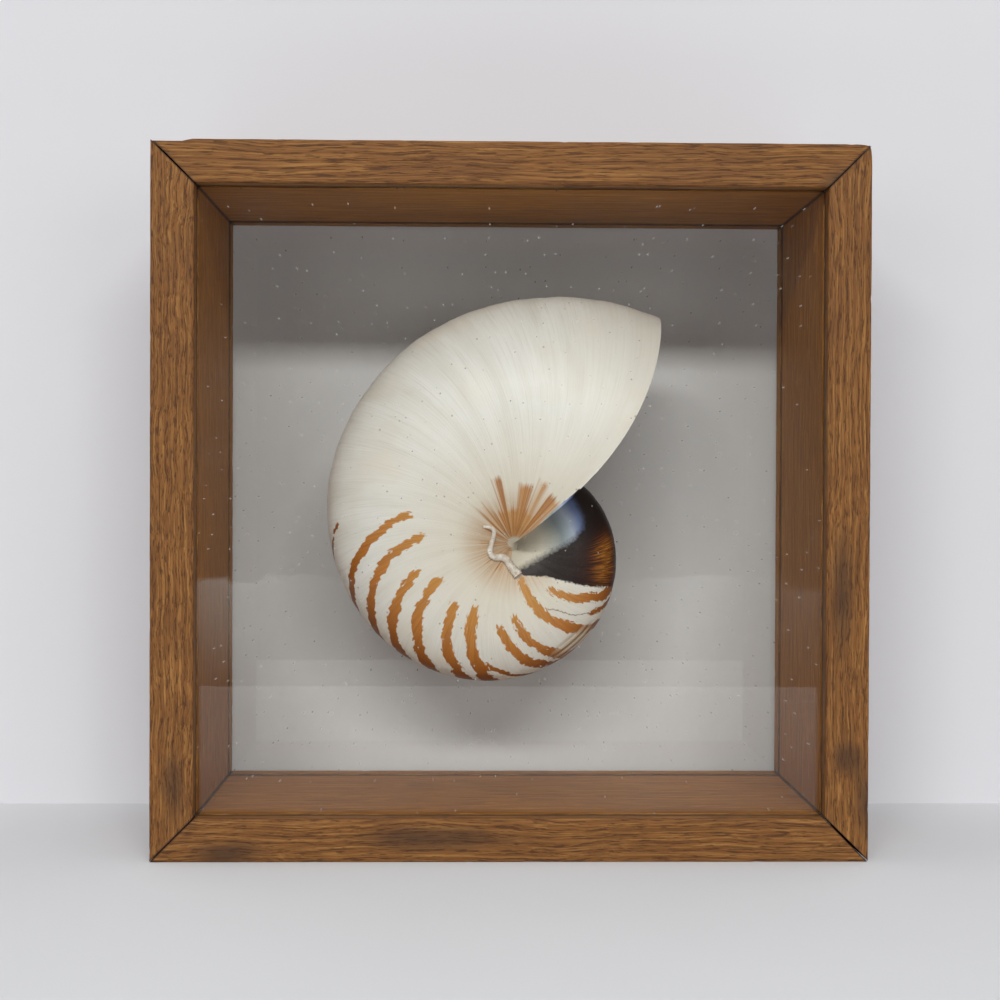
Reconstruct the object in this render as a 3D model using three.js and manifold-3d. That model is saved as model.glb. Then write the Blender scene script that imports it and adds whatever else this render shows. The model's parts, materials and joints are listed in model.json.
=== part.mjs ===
// A nautilus shell kept in a shadow box: four grooved, mitred oak boards hold a clear pane at the
// front and another at the back, and the shell stands between them. Millimetres, +Z up. The box
// faces -Y and stands on z = 0 at x = y = 0; the shell coils about an axis along Y.
import * as THREE from "three";
import { mergeVertices } from "three/addons/utils/BufferGeometryUtils.js";
import Module from "manifold-3d";

const solids = await Module();
solids.setup();

// Box
const BOX_SIDE = 305; // outer width and height
const BOX_DEPTH = 114; // front to back
const BOARD = 18.5; // board thickness
const GROOVE_DEPTH = 5;
const GROOVE_WIDTH = 3.1;
const FRONT_LIP = 8; // wood in front of the front pane
const BACK_LIP = 9.8; // wood behind the back pane
const MITRE_GAP = 0.3; // across a tight mitre
const WORN_CORNER = 1.2;

// Panes
const GLASS = 2.5;
const GLASS_PLAY = 0.3; // round each pane in its groove

// Corner nails, driven through the side boards into the ends of the top and bottom boards
const NAIL_DIAMETER = 1.6;
const NAIL_LENGTH = 38;
const NAIL_SET = 1; // how far the nail sits below the wood
const NAIL_Y = [-27, 27];

// Shell: a logarithmic spiral. "turn" counts back from the lip, in radians.
const SHELL_X = 1.8;
const SHELL_Z = 133.7;
const LIP_RADIUS = 122.5; // axis to the outer edge of the lip
const LIP_ANGLE = THREE.MathUtils.degToRad(57);
const LIP_SWING = THREE.MathUtils.degToRad(18.3); // the lip runs back from the axis to its outer edge
const GROWTH = 0.1806; // the radius grows 3.1 times in one turn
const HALF_WIDTH = 43; // at the lip
const WIDEST = 0.4; // where a whorl is widest, as a share of its radius
const OUTER_CURVE = 2.2; // roundness of the outer side: 2 is an ellipse, more is fuller
const NAVEL = 0.06; // the closed navel, as a share of the whorl's radius
const NAVEL_DIP = 0.36; // how far the side sinks towards the navel
const STEPS_PER_TURN = 60;
const WALL = 1.8;
const BODY_CHAMBER = 21; // steps from the lip to the last partition
const CHAMBER = 5; // steps from one partition to the next
const CHAMBERS = 7;
const PARTITION = 0.05; // partition thickness, in radians
const DISH = 0.16; // how far each partition is dished, in radians
const SIPHON_RADIUS = 1.3; // hole through the partitions

// Worm tube on the shell's front side, and the dabs of silicone behind the shell
const WORM_RADIUS = [0.7, 1.7]; // tail, mouth
const WORM_GAP = 0.3;
const DAB_RADIUS = 6;
const DAB_GAP = 0.3;

const OAK = { color: 0x8a5c36, roughness: 0.62, metalness: 0 };
const CLEAR_GLASS = { color: 0xdde6e2, roughness: 0.05, metalness: 0, transparent: true, opacity: 0.25 };
const SHELL_WHITE = { color: 0xece4d8, roughness: 0.3, metalness: 0 };
const WORM_WHITE = { color: 0xe6e0d4, roughness: 0.7, metalness: 0 };
const SILICONE = { color: 0xe4e6e4, roughness: 0.3, metalness: 0, transparent: true, opacity: 0.6 };
const STEEL = { color: 0x8d8f92, roughness: 0.4, metalness: 1 };

const box = new THREE.Group();
box.name = "nautilus_shadow_box";

const toSolid = (geometry) => {
  const bare = new THREE.BufferGeometry();
  bare.setAttribute("position", geometry.getAttribute("position"));
  if (geometry.index) bare.setIndex(geometry.index);
  const welded = mergeVertices(bare, 1e-5);
  const vertProperties = new Float32Array(welded.getAttribute("position").array);
  const triVerts = new Uint32Array(welded.index.array);
  return new solids.Manifold(new solids.Mesh({ numProp: 3, vertProperties, triVerts }));
};

const toGeometry = (solid) => {
  const mesh = solid.getMesh();
  const geometry = new THREE.BufferGeometry();
  geometry.setAttribute("position", new THREE.BufferAttribute(new Float32Array(mesh.vertProperties), 3));
  geometry.setIndex(new THREE.BufferAttribute(new Uint32Array(mesh.triVerts), 1));
  return geometry;
};

const add = (name, geometry, look) => {
  const flat = geometry.index ? geometry.toNonIndexed() : geometry;
  flat.computeVertexNormals();
  const mesh = new THREE.Mesh(flat, new THREE.MeshStandardMaterial(look));
  mesh.name = name;
  box.add(mesh);
};

// ---- Boards ----

const FRONT_GROOVE = -BOX_DEPTH / 2 + FRONT_LIP;
const BACK_GROOVE = BOX_DEPTH / 2 - BACK_LIP - GROOVE_WIDTH;

// The board's section: Y across its depth, and the inner face with both grooves at the top.
const boardSection = () => {
  const half = BOX_DEPTH / 2;
  const section = new THREE.Shape([new THREE.Vector2(-half, 0), new THREE.Vector2(half, 0)]);
  section.lineTo(half, BOARD);
  for (const start of [BACK_GROOVE, FRONT_GROOVE]) {
    section.lineTo(start + GROOVE_WIDTH, BOARD);
    section.lineTo(start + GROOVE_WIDTH, BOARD - GROOVE_DEPTH);
    section.lineTo(start, BOARD - GROOVE_DEPTH);
    section.lineTo(start, BOARD);
  }
  section.lineTo(-half, BOARD);
  return section;
};

// What a mitre takes off the end at +X. open is how far the joint gapes at its outer end.
const mitreWaste = (open) => {
  const outer = BOX_SIDE / 2 - open / 2 - MITRE_GAP * Math.SQRT1_2;
  const inner = BOX_SIDE / 2 - BOARD - MITRE_GAP * Math.SQRT1_2;
  const slope = (inner - outer) / BOARD;
  const far = BOX_SIDE;
  const waste = new THREE.Shape([
    new THREE.Vector2(outer - slope * BOARD, -BOARD),
    new THREE.Vector2(far, -BOARD),
    new THREE.Vector2(far, 2 * BOARD),
    new THREE.Vector2(outer + 2 * slope * BOARD, 2 * BOARD),
  ]);
  const prism = new THREE.ExtrudeGeometry(waste, { depth: 2 * BOX_DEPTH, bevelEnabled: false });
  return toSolid(prism.rotateX(Math.PI / 2).translate(0, BOX_DEPTH, 0));
};

// Takes the sharp outer corner off the end at +X.
const cornerWear = (amount) => {
  const side = 4 * amount;
  const wear = new THREE.BoxGeometry(side, 2 * BOX_DEPTH, side).rotateY(Math.PI / 4);
  const reach = side * Math.SQRT1_2 - amount;
  return toSolid(wear.translate(BOX_SIDE / 2 + reach, 0, -reach));
};

// A board lying along X on z = 0 with its inner face up. left and right describe its two ends.
const board = (left, right) => {
  const length = new THREE.ExtrudeGeometry(boardSection(), { depth: BOX_SIDE, bevelEnabled: false });
  const turn = new THREE.Matrix4().makeBasis(
    new THREE.Vector3(0, 1, 0),
    new THREE.Vector3(0, 0, 1),
    new THREE.Vector3(1, 0, 0),
  );
  let wood = toSolid(length.applyMatrix4(turn).translate(-BOX_SIDE / 2, 0, 0));
  wood = wood.subtract(mitreWaste(right.open)).subtract(mitreWaste(left.open).mirror([1, 0, 0]));
  if (right.worn) wood = wood.subtract(cornerWear(right.worn));
  if (left.worn) wood = wood.subtract(cornerWear(left.worn).mirror([1, 0, 0]));
  return wood;
};

const nailPlaces = () => {
  const places = [];
  for (const side of [-1, 1]) {
    for (const z of [BOARD / 2, BOX_SIDE - BOARD / 2]) {
      for (const y of NAIL_Y) places.push({ side, y, z });
    }
  }
  return places;
};

const peg = (diameter, from, to, { side, y, z }) => {
  const rod = new THREE.CylinderGeometry(diameter / 2, diameter / 2, to - from, 10);
  return rod.rotateZ(Math.PI / 2).translate((side * (from + to)) / 2, y, z);
};

const addBoards = () => {
  const tight = { open: 0.2 };
  const gaping = { open: 1.7 };
  const parted = { open: 0.9 };
  const rubbed = { open: 0.2, worn: WORN_CORNER };
  const half = BOX_SIDE / 2;
  const upright = (wood, angle, side) =>
    wood.rotate([0, angle, 0]).translate([side * half, 0, half]);
  const boards = {
    frame_bottom: board(tight, gaping),
    frame_top: board(rubbed, parted).rotate([0, 180, 0]).translate([0, 0, BOX_SIDE]),
    frame_right: upright(board(gaping, rubbed), -90, 1),
    frame_left: upright(board(parted, tight), 90, -1),
  };
  const inner = half - NAIL_LENGTH - NAIL_SET - 0.3;
  let holes = [];
  for (const place of nailPlaces()) {
    holes.push(toSolid(peg(NAIL_DIAMETER + 0.6, inner, half + 5, place)));
  }
  const drilled = solids.Manifold.union(holes);
  for (const [name, wood] of Object.entries(boards)) {
    add(name, toGeometry(wood.subtract(drilled)), OAK);
  }
};

const addPanes = () => {
  const side = BOX_SIDE - 2 * BOARD + 2 * (GROOVE_DEPTH - GLASS_PLAY);
  for (const [name, groove] of [["front_glass", FRONT_GROOVE], ["back_glass", BACK_GROOVE]]) {
    const pane = new THREE.BoxGeometry(side, GLASS, side);
    add(name, pane.translate(0, groove + GROOVE_WIDTH / 2, BOX_SIDE / 2), CLEAR_GLASS);
  }
};

const addNails = () => {
  const end = BOX_SIDE / 2 - NAIL_SET;
  nailPlaces().forEach((place, i) => {
    add(`nail_${i + 1}`, peg(NAIL_DIAMETER, end - NAIL_LENGTH, end, place), STEEL);
  });
};

// ---- Shell ----

// Half of a whorl's section, from the outer edge (share 0) to the navel (share 1), in units of the
// whorl's radius: a superellipse out to the widest place, then a gentle dip to the navel.
const halfWidth = HALF_WIDTH / LIP_RADIUS;
const sectionPoint = (share) => {
  const bend = 0.68;
  if (share < bend) {
    const a = ((share / bend) * Math.PI) / 2;
    const out = Math.cos(a) ** (2 / OUTER_CURVE);
    return [WIDEST + (1 - WIDEST) * out, halfWidth * Math.sin(a)];
  }
  const s = WIDEST + ((NAVEL - WIDEST) * (share - bend)) / (1 - bend);
  return [s, halfWidth * (1 - NAVEL_DIP * ((WIDEST - s) / WIDEST) ** 2)];
};

// A point of the spiral, from its share s of the whorl's radius and its side distance w, both in
// units of that radius. Growth lines are curves of one step, and swing forward away from the rim.
const spiralPoint = (step, s, w) => {
  const turn = (step * 2 * Math.PI) / STEPS_PER_TURN;
  const radius = LIP_RADIUS * Math.exp(-GROWTH * turn);
  const swing = LIP_SWING * Math.sin((Math.PI / 2) * (1 - Math.min(s, 1)));
  const angle = LIP_ANGLE + turn - swing;
  return [SHELL_X + s * radius * Math.cos(angle), w * radius, SHELL_Z + s * radius * Math.sin(angle)];
};

const radiusAt = (step) => LIP_RADIUS * Math.exp((-GROWTH * step * 2 * Math.PI) / STEPS_PER_TURN);

const OUTSIDE_POINTS = 12; // on each half of a section
const INSIDE_POINTS = 8;

// The outer section from one navel over the rim to the other.
const outerSection = () => {
  const points = [];
  for (let i = -OUTSIDE_POINTS; i <= OUTSIDE_POINTS; i++) {
    const [s, w] = sectionPoint(Math.abs(i) / OUTSIDE_POINTS);
    points.push([s, Math.sign(i) * w]);
  }
  return points;
};

// The same section moved in by the wall's thickness.
const innerSection = (step) => {
  const wall = WALL / radiusAt(step);
  const points = [];
  for (let i = -INSIDE_POINTS; i <= INSIDE_POINTS; i++) {
    const share = Math.abs(i) / INSIDE_POINTS;
    const [s, w] = sectionPoint(share);
    const [s0, w0] = sectionPoint(Math.max(share - 0.01, 0));
    const [s1, w1] = sectionPoint(Math.min(share + 0.01, 1));
    const long = Math.hypot(s1 - s0, w1 - w0);
    const inward = i === 0 ? [-1, 0] : [-(w1 - w0) / long, (s1 - s0) / long];
    const navel = share === 1 ? 0.03 : 0;
    points.push([s + wall * inward[0] + navel, Math.sign(i) * (w + wall * inward[1])]);
  }
  return points;
};

const siphonSection = (step) => {
  const r = SIPHON_RADIUS / radiusAt(step);
  const points = [];
  for (let i = 0; i < 8; i++) {
    const a = (i * Math.PI) / 4;
    points.push([0.6 + r * Math.cos(a), r * Math.sin(a)]);
  }
  return points;
};

const closedMesh = (points, faces) => {
  const geometry = new THREE.BufferGeometry();
  geometry.setAttribute("position", new THREE.Float32BufferAttribute(points.flat(), 3));
  geometry.setIndex(faces.flat());
  const solid = toSolid(geometry);
  if (solid.volume() > 0) return solid;
  geometry.setIndex(faces.map(([a, b, c]) => [a, c, b]).flat());
  return toSolid(geometry);
};

// A solid swept along the spiral through the listed steps. Each ring is a closed section, and the
// two ends are dished back by dish radians, as a partition is.
const sweep = (steps, section, dish) => {
  const points = [];
  const faces = [];
  const count = section(steps[0]).length;
  const join = (a, b) => {
    for (let i = 0; i < count; i++) {
      const j = (i + 1) % count;
      faces.push([a + i, b + i, b + j], [a + i, b + j, a + j]);
    }
  };
  const ring = (step, size) => {
    const outline = section(step);
    const s0 = outline.reduce((sum, p) => sum + p[0], 0) / count;
    const back = (dish * Math.sqrt(1 - size ** 2) * STEPS_PER_TURN) / (2 * Math.PI);
    for (const [s, w] of outline) points.push(spiralPoint(step + back, s0 + (s - s0) * size, w * size));
    return points.length - count;
  };
  const middle = (step) => {
    const s0 = section(step).reduce((sum, p) => sum + p[0], 0) / count;
    points.push(spiralPoint(step + (dish * STEPS_PER_TURN) / (2 * Math.PI), s0, 0));
    return points.length - 1;
  };
  const sizes = dish ? [0.92, 0.62] : [];
  const first = steps[0];
  const last = steps[steps.length - 1];
  const rings = sizes.map((size) => ring(first, size)).reverse();
  for (const step of steps) rings.push(ring(step, 1));
  rings.push(...sizes.map((size) => ring(last, size)));
  for (let i = 1; i < rings.length; i++) join(rings[i - 1], rings[i]);
  const start = middle(first);
  const end = middle(last);
  for (let i = 0; i < count; i++) {
    const j = (i + 1) % count;
    faces.push([start, rings[0] + i, rings[0] + j]);
    faces.push([end, rings.at(-1) + j, rings.at(-1) + i]);
  }
  return closedMesh(points, faces);
};

const stepsFrom = (first, last) => Array.from({ length: last - first + 1 }, (_, i) => first + i);

// One whole turn, filled: the spiral surface, the face between the lip and the whorl inside it, and
// a fan that closes each navel.
const filledTurn = () => {
  const section = outerSection();
  const across = section.length;
  const points = [];
  const faces = [];
  for (const step of stepsFrom(0, STEPS_PER_TURN)) {
    for (const [s, w] of section) points.push(spiralPoint(step, s, w));
  }
  const quad = (a, b, c, d) => faces.push([a, b, c], [a, c, d]);
  for (let i = 0; i < STEPS_PER_TURN; i++) {
    for (let j = 0; j < across - 1; j++) {
      const a = i * across + j;
      quad(a, a + across, a + across + 1, a + 1);
    }
  }
  const lastRing = STEPS_PER_TURN * across;
  for (let j = 0; j < across - 1; j++) quad(lastRing + j, j, j + 1, lastRing + j + 1);
  for (const side of [0, across - 1]) {
    const loop = stepsFrom(0, STEPS_PER_TURN).map((step) => step * across + side);
    const depth = loop.reduce((sum, i) => sum + points[i][1], 0) / loop.length;
    const navel = points.push([SHELL_X, depth, SHELL_Z]) - 1;
    loop.forEach((from, i) => {
      const to = loop[(i + 1) % loop.length];
      faces.push(side ? [navel, from, to] : [navel, to, from]);
    });
  }
  return closedMesh(points, faces);
};

const hollows = () => {
  const spaces = [sweep(stepsFrom(-3, BODY_CHAMBER), innerSection, DISH)];
  const perRadian = STEPS_PER_TURN / (2 * Math.PI);
  for (let i = 0; i < CHAMBERS; i++) {
    const first = BODY_CHAMBER + i * CHAMBER;
    const steps = [first + PARTITION * perRadian, ...stepsFrom(first + 1, first + CHAMBER)];
    spaces.push(sweep(steps, innerSection, DISH));
  }
  const siphon = stepsFrom(BODY_CHAMBER - 2, BODY_CHAMBER + CHAMBERS * CHAMBER);
  spaces.push(sweep(siphon, siphonSection, 0));
  return solids.Manifold.union(spaces);
};

const whorlInside = () =>
  sweep(stepsFrom(STEPS_PER_TURN - 5, 2 * STEPS_PER_TURN - 7), outerSection, 0);

const filled = filledTurn();

const addShell = () => {
  const shell = filled.subtract(hollows().subtract(whorlInside()));
  add("nautilus_shell", toGeometry(shell), SHELL_WHITE);
};

// ---- Small pieces on and behind the shell ----

// The front surface of the shell at an angle and distance from its axis, found by a ray along +Y.
const frontSurface = (() => {
  const surface = new THREE.Mesh(toGeometry(filled), new THREE.MeshBasicMaterial({ side: THREE.DoubleSide }));
  const ray = new THREE.Raycaster();
  return (degrees, distance) => {
    const angle = THREE.MathUtils.degToRad(degrees);
    const x = SHELL_X + distance * Math.cos(angle);
    const z = SHELL_Z + distance * Math.sin(angle);
    ray.set(new THREE.Vector3(x, -100, z), new THREE.Vector3(0, 1, 0));
    return ray.intersectObject(surface)[0].point;
  };
})();

// A round rod along a curve, thicker towards its end, with closed ends.
const taperedRod = (curve, [from, to], along, around) => {
  const frames = curve.computeFrenetFrames(along);
  const points = [];
  const faces = [];
  for (let i = 0; i <= along; i++) {
    const share = i / along;
    const radius = from + (to - from) * share;
    for (let j = 0; j < around; j++) {
      const a = (j * 2 * Math.PI) / around;
      const out = frames.normals[i].clone().multiplyScalar(Math.cos(a) * radius);
      out.addScaledVector(frames.binormals[i], Math.sin(a) * radius).add(curve.getPointAt(share));
      points.push(out.toArray());
    }
  }
  for (let i = 0; i < along; i++) {
    for (let j = 0; j < around; j++) {
      const a = i * around + j;
      const b = i * around + ((j + 1) % around);
      faces.push([a, b, b + around], [a, b + around, a + around]);
    }
  }
  for (let j = 1; j < around - 1; j++) {
    const end = along * around;
    faces.push([0, j + 1, j], [end, end + j, end + j + 1]);
  }
  return closedMesh(points, faces);
};

const addWorm = () => {
  const way = [[155, 14.8], [132, 8.6], [175, 7.8], [208, 11.5], [228, 10.2], [240, 6.4], [262, 9.5], [276, 14.5]];
  const clear = WORM_RADIUS[1] + WORM_GAP;
  const curve = new THREE.CatmullRomCurve3(
    way.map(([degrees, distance]) => frontSurface(degrees, distance).add(new THREE.Vector3(0, -clear, 0))),
  );
  const rod = taperedRod(curve, WORM_RADIUS, 36, 10);
  const shell = filled.translate([0, -WORM_GAP, 0]);
  add("worm_tube", toGeometry(rod.subtract(shell)), WORM_WHITE);
};

const addDabs = () => {
  const glass = BACK_GROOVE + (GROOVE_WIDTH - GLASS) / 2 - DAB_GAP;
  const inside = 0.8 * HALF_WIDTH;
  const places = [[55, 47], [80, 46], [66, 70]]; // angle and distance from the shell's axis
  places.forEach(([degrees, distance], i) => {
    const angle = THREE.MathUtils.degToRad(degrees);
    const rod = new THREE.CylinderGeometry(DAB_RADIUS, DAB_RADIUS, glass - inside, 24);
    const x = SHELL_X + distance * Math.cos(angle);
    const z = SHELL_Z + distance * Math.sin(angle);
    const dab = toSolid(rod.translate(x, (glass + inside) / 2, z)).subtract(filled.translate([0, DAB_GAP, 0]));
    add(`silicone_dab_${i + 1}`, toGeometry(dab), SILICONE);
  });
};

addBoards();
addPanes();
addNails();
addShell();
addWorm();
addDabs();

export default box;
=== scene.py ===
"""A nautilus shell in a shadow box: four stained oak boards, mitred and grooved, hold a clear pane
at the front and another at the back, and the shell stands between the panes. Metres, +Z up; the
box faces -Y and stands on z = 0."""
import json
import math

import bmesh
import bpy
import numpy as np
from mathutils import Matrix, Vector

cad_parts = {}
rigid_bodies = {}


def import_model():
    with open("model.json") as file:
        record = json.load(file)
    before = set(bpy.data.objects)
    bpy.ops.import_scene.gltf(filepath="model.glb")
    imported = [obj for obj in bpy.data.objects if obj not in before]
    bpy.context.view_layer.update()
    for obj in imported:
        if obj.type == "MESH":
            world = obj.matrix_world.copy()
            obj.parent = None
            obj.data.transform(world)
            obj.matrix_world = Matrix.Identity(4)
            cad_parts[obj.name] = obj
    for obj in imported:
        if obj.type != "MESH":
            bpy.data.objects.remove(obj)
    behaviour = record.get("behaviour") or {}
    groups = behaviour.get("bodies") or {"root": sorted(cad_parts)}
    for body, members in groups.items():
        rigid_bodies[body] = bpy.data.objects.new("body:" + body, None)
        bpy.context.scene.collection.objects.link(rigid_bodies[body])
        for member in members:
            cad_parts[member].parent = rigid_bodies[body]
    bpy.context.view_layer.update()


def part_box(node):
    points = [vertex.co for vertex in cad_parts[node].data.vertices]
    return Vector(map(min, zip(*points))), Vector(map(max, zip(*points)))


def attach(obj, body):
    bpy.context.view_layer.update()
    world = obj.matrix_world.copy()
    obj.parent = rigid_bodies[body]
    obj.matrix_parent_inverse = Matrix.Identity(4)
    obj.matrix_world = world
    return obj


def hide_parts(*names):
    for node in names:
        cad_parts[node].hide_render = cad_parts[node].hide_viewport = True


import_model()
MM = 0.001

# ---- Oak boards ----
# Four boards of planed 3/4 in red oak, stained brown. Each is sawn with two grooves for the panes
# and cut at 45 degrees, and small holes are drilled through the corners for nails. Two mitres have
# opened, the edges are rubbed, and the inside, kept behind glass, is warmer and evener.
SIDE, DEPTH, THICK = 305 * MM, 114 * MM, 18.5 * MM
GROOVE, GROOVE_W = 5 * MM, 3.1 * MM
FRONT_GROOVE = -DEPTH / 2 + 8 * MM
BACK_GROOVE = DEPTH / 2 - 9.8 * MM - GROOVE_W
SAW_GAP = 0.3 * MM * math.sqrt(0.5)
NAIL_HOLE, NAIL_REACH, NAIL_ASIDE = 1.1 * MM, 39.3 * MM, 27 * MM
ROWS_ALONG = 141


def mesh_piece(name, points, faces, smooth_below=35):
    """A closed piece from an (n, 3) array of points in metres and a list of faces of point numbers.
    Points that coincide become one, faces are turned outwards, and edges sharper than smooth_below
    degrees stay sharp."""
    mesh = bpy.data.meshes.new(name)
    mesh.from_pydata(points.tolist(), [], faces)
    shape = bmesh.new()
    shape.from_mesh(mesh)
    bmesh.ops.remove_doubles(shape, verts=shape.verts, dist=1e-7)
    bmesh.ops.recalc_face_normals(shape, faces=shape.faces)
    shape.to_mesh(mesh)
    shape.free()
    mesh.polygons.foreach_set("use_smooth", np.full(len(mesh.polygons), True))
    mesh.set_sharp_from_angle(angle=math.radians(smooth_below))
    piece = bpy.data.objects.new(name, mesh)
    bpy.context.scene.collection.objects.link(piece)
    return piece


def grid_faces(rows, columns, wrap_rows=False, wrap_columns=False):
    """Quads of a grid of rows x columns points, numbered row by row. A wrap joins the last row or
    column to the first."""
    i = np.arange(rows if wrap_rows else rows - 1)[:, None]
    j = np.arange(columns if wrap_columns else columns - 1)[None, :]
    next_i, next_j = (i + 1) % rows * columns, (j + 1) % columns
    i = i * columns
    return np.stack([i + j, i + next_j, next_i + next_j, next_i + j], -1).reshape(-1, 4).tolist()


def cut(piece, tool):
    """Takes tool's volume out of piece, and removes tool."""
    step = piece.modifiers.new("cut", "BOOLEAN")
    step.operation, step.object, step.solver = "DIFFERENCE", tool, "MANIFOLD"
    seen = piece.evaluated_get(bpy.context.evaluated_depsgraph_get())
    mesh = bpy.data.meshes.new_from_object(seen)
    piece.modifiers.clear()
    piece.data = mesh
    bpy.data.objects.remove(tool)


def points_of(piece):
    """The piece's points as an (n, 3) array."""
    points = np.empty(len(piece.data.vertices) * 3)
    piece.data.vertices.foreach_get("co", points)
    return points.reshape(-1, 3)


def mark(piece, name, values):
    """Writes an attribute on the piece's points: one number each, or three."""
    kind, field = ("FLOAT", "value") if values.ndim == 1 else ("FLOAT_VECTOR", "vector")
    made = piece.data.attributes.new(name, kind, "POINT")
    made.data.foreach_set(field, values.astype(np.float32).ravel())


def ripple(x, seed, reach):
    """A smooth wandering value from -1 to 1 along x: three sines, the longest of length reach."""
    waves = [(1.0, 0.0), (2.3, 1.9), (5.1, 4.2)]
    total = sum(np.sin(x * 2 * math.pi * f / reach + p + seed * (1.7 + f)) / f for f, p in waves)
    return total / 1.7


def board_profile():
    """The board's section as (y, h) points in order: y from front to back, h from the outer face (0)
    to the inner face. Flats are divided at least every 3 mm, and outer corners are quarter circles."""
    half, turned = DEPTH / 2, 0.7 * MM
    corners = [(-half, 0, turned), (half, 0, turned), (half, THICK, turned)]
    for start in (BACK_GROOVE, FRONT_GROOVE):
        corners += [(start + GROOVE_W, THICK, 0), (start + GROOVE_W, THICK - GROOVE, 0)]
        corners += [(start, THICK - GROOVE, 0), (start, THICK, 0)]
    corners.append((-half, THICK, turned))
    points = []
    for n, (y, h, r) in enumerate(corners):
        here, r_next = np.array([y, h]), corners[(n + 1) % len(corners)][2]
        before = np.array(corners[n - 1][:2]) - here
        after = np.array(corners[(n + 1) % len(corners)][:2]) - here
        to_before, to_after = (d / np.linalg.norm(d) for d in (before, after))
        a = np.linspace(0, math.pi / 2, 6 if r else 1)[:, None]
        middle = here + r * (to_before + to_after)
        points.append(middle - r * (np.cos(a) * to_after + np.sin(a) * to_before))
        s = np.linspace(0, 1, int(np.linalg.norm(after) / (3 * MM)) + 2)[1:-1, None]
        points.append((here + r * to_after) * (1 - s) + (here + after - r_next * to_after) * s)
    return np.vstack(points)


def board(name, low, high, chip):
    """The points and faces of a board in its own directions (l, y, h): the profile carried along l,
    each profile point starting and ending where the mitre cuts its height h. low and high are (gape,
    wear) at the two ends: a gape closes 25 mm behind the front, and wear rounds the outer corner. The
    edges wander by tenths of a millimetre, and chip is lost from the first 15 mm of the outer face."""
    y, h = board_profile().T
    (low_gape, low_wear), (high_gape, high_wear) = low, high
    shut = np.clip((y + DEPTH / 2) / (25 * MM), 0, 1)
    out = 1 - h / THICK
    parted = (1 - shut) * np.sqrt(out) * (1 - 0.75 * np.exp(-h / (2 * MM))) / 2
    mitre = SIDE / 2 - THICK - SAW_GAP * (1 - 0.9 * shut) + THICK * out
    start, end = low_gape * parted - mitre, mitre - high_gape * parted
    l = start + (end - start) * np.linspace(0, 1, ROWS_ALONG)[:, None]
    # Sharp edges are rubbed within 1.2 mm, and here and there dented, as a 50 and a 31 mm ripple say
    near_edge = np.exp(-(np.minimum(h, THICK - h) + DEPTH / 2 - np.abs(y)) / (1.2 * MM))
    seed = len(name) + 3 * np.sign(y)
    rub = 0.11 * MM * (1 + ripple(l, seed, 0.05)) * near_edge
    rub = rub + 1.2 * MM * np.clip(ripple(l, seed + 9, 0.031) - 0.6, 0, 1) * near_edge
    corner = np.exp(-h / (2 * MM))
    rub = rub + low_wear * np.exp((start - l) / (2.5 * MM)) * corner
    rub = rub + high_wear * np.exp((l - end) / (2.5 * MM)) * corner
    chipped = chip * (0.5 - 0.5 * np.tanh((l - start - 15 * MM) / (0.7 * MM)))
    chipped = chipped * np.exp(-h / (3 * MM) - np.maximum(y + DEPTH / 2, 0) / (14 * MM))
    inward = np.where(h < THICK / 2, 1, -1)
    points = np.stack([l, y - np.sign(y) * rub * 0.7, h + rub * 0.7 * inward + chipped], -1)
    rows, columns = l.shape
    ring = list(range(columns))
    ends = [ring, [(rows - 1) * columns + n for n in ring]]
    return points.reshape(-1, 3), grid_faces(rows, columns, wrap_columns=True) + ends


def rod(name, radius, start, end, around=20):
    """A closed round rod along X from start to end: rings (x, y + r cos a, z + r sin a)."""
    a = np.arange(around) * 2 * math.pi / around
    ring = np.stack([0 * a, radius * np.cos(a), radius * np.sin(a)], -1)
    points = np.vstack([ring + start, ring + end])
    faces = grid_faces(2, around, wrap_columns=True)
    return mesh_piece(name, points, faces + [list(range(around)), list(range(around, 2 * around))])


def drill(piece, side):
    """Drills the nail holes that reach the piece from one side (-1 left, 1 right)."""
    for z in (THICK / 2, SIDE - THICK / 2):
        for y in (-NAIL_ASIDE, NAIL_ASIDE):
            start, end = (np.array([side * x, y, z]) for x in (SIDE / 2 + MM, SIDE / 2 - NAIL_REACH))
            cut(piece, rod("drill", NAIL_HOLE, start, end))


TIGHT, RUBBED, PARTED, GAPING = (0.2 * MM, 0), (0.2 * MM, 1.2 * MM), (0.9 * MM, 0), (1.7 * MM, 0)
# Each board's two ends, the chip off its outer face, the way it runs, the way to its inner face, and
# how many times shorter its pores are than the longest
BOARDS = {
    "bottom": (TIGHT, GAPING, 0, (1, 0, 0), (0, 0, 1), 1.3),
    "top": (PARTED, RUBBED, 1 * MM, (1, 0, 0), (0, 0, -1), 1.0),
    "right": (GAPING, RUBBED, 0, (0, 0, 1), (-1, 0, 0), 1.6),
    "left": (TIGHT, PARTED, 0, (0, 0, 1), (1, 0, 0), 2.2),
}
# Damp stains on each board as (l, h, spread along l) in metres
STAINS = {
    "bottom": [(-0.03, 0.010, 0.05), (-0.12, 0.003, 0.02)],
    "top": [(0.14, 0.016, 0.012)],
    "right": [(-0.035, 0.012, 0.035), (-0.108, 0.010, 0.009), (-0.128, 0.001, 0.02)],
    "left": [(-0.12, 0.010, 0.02)],
}


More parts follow.
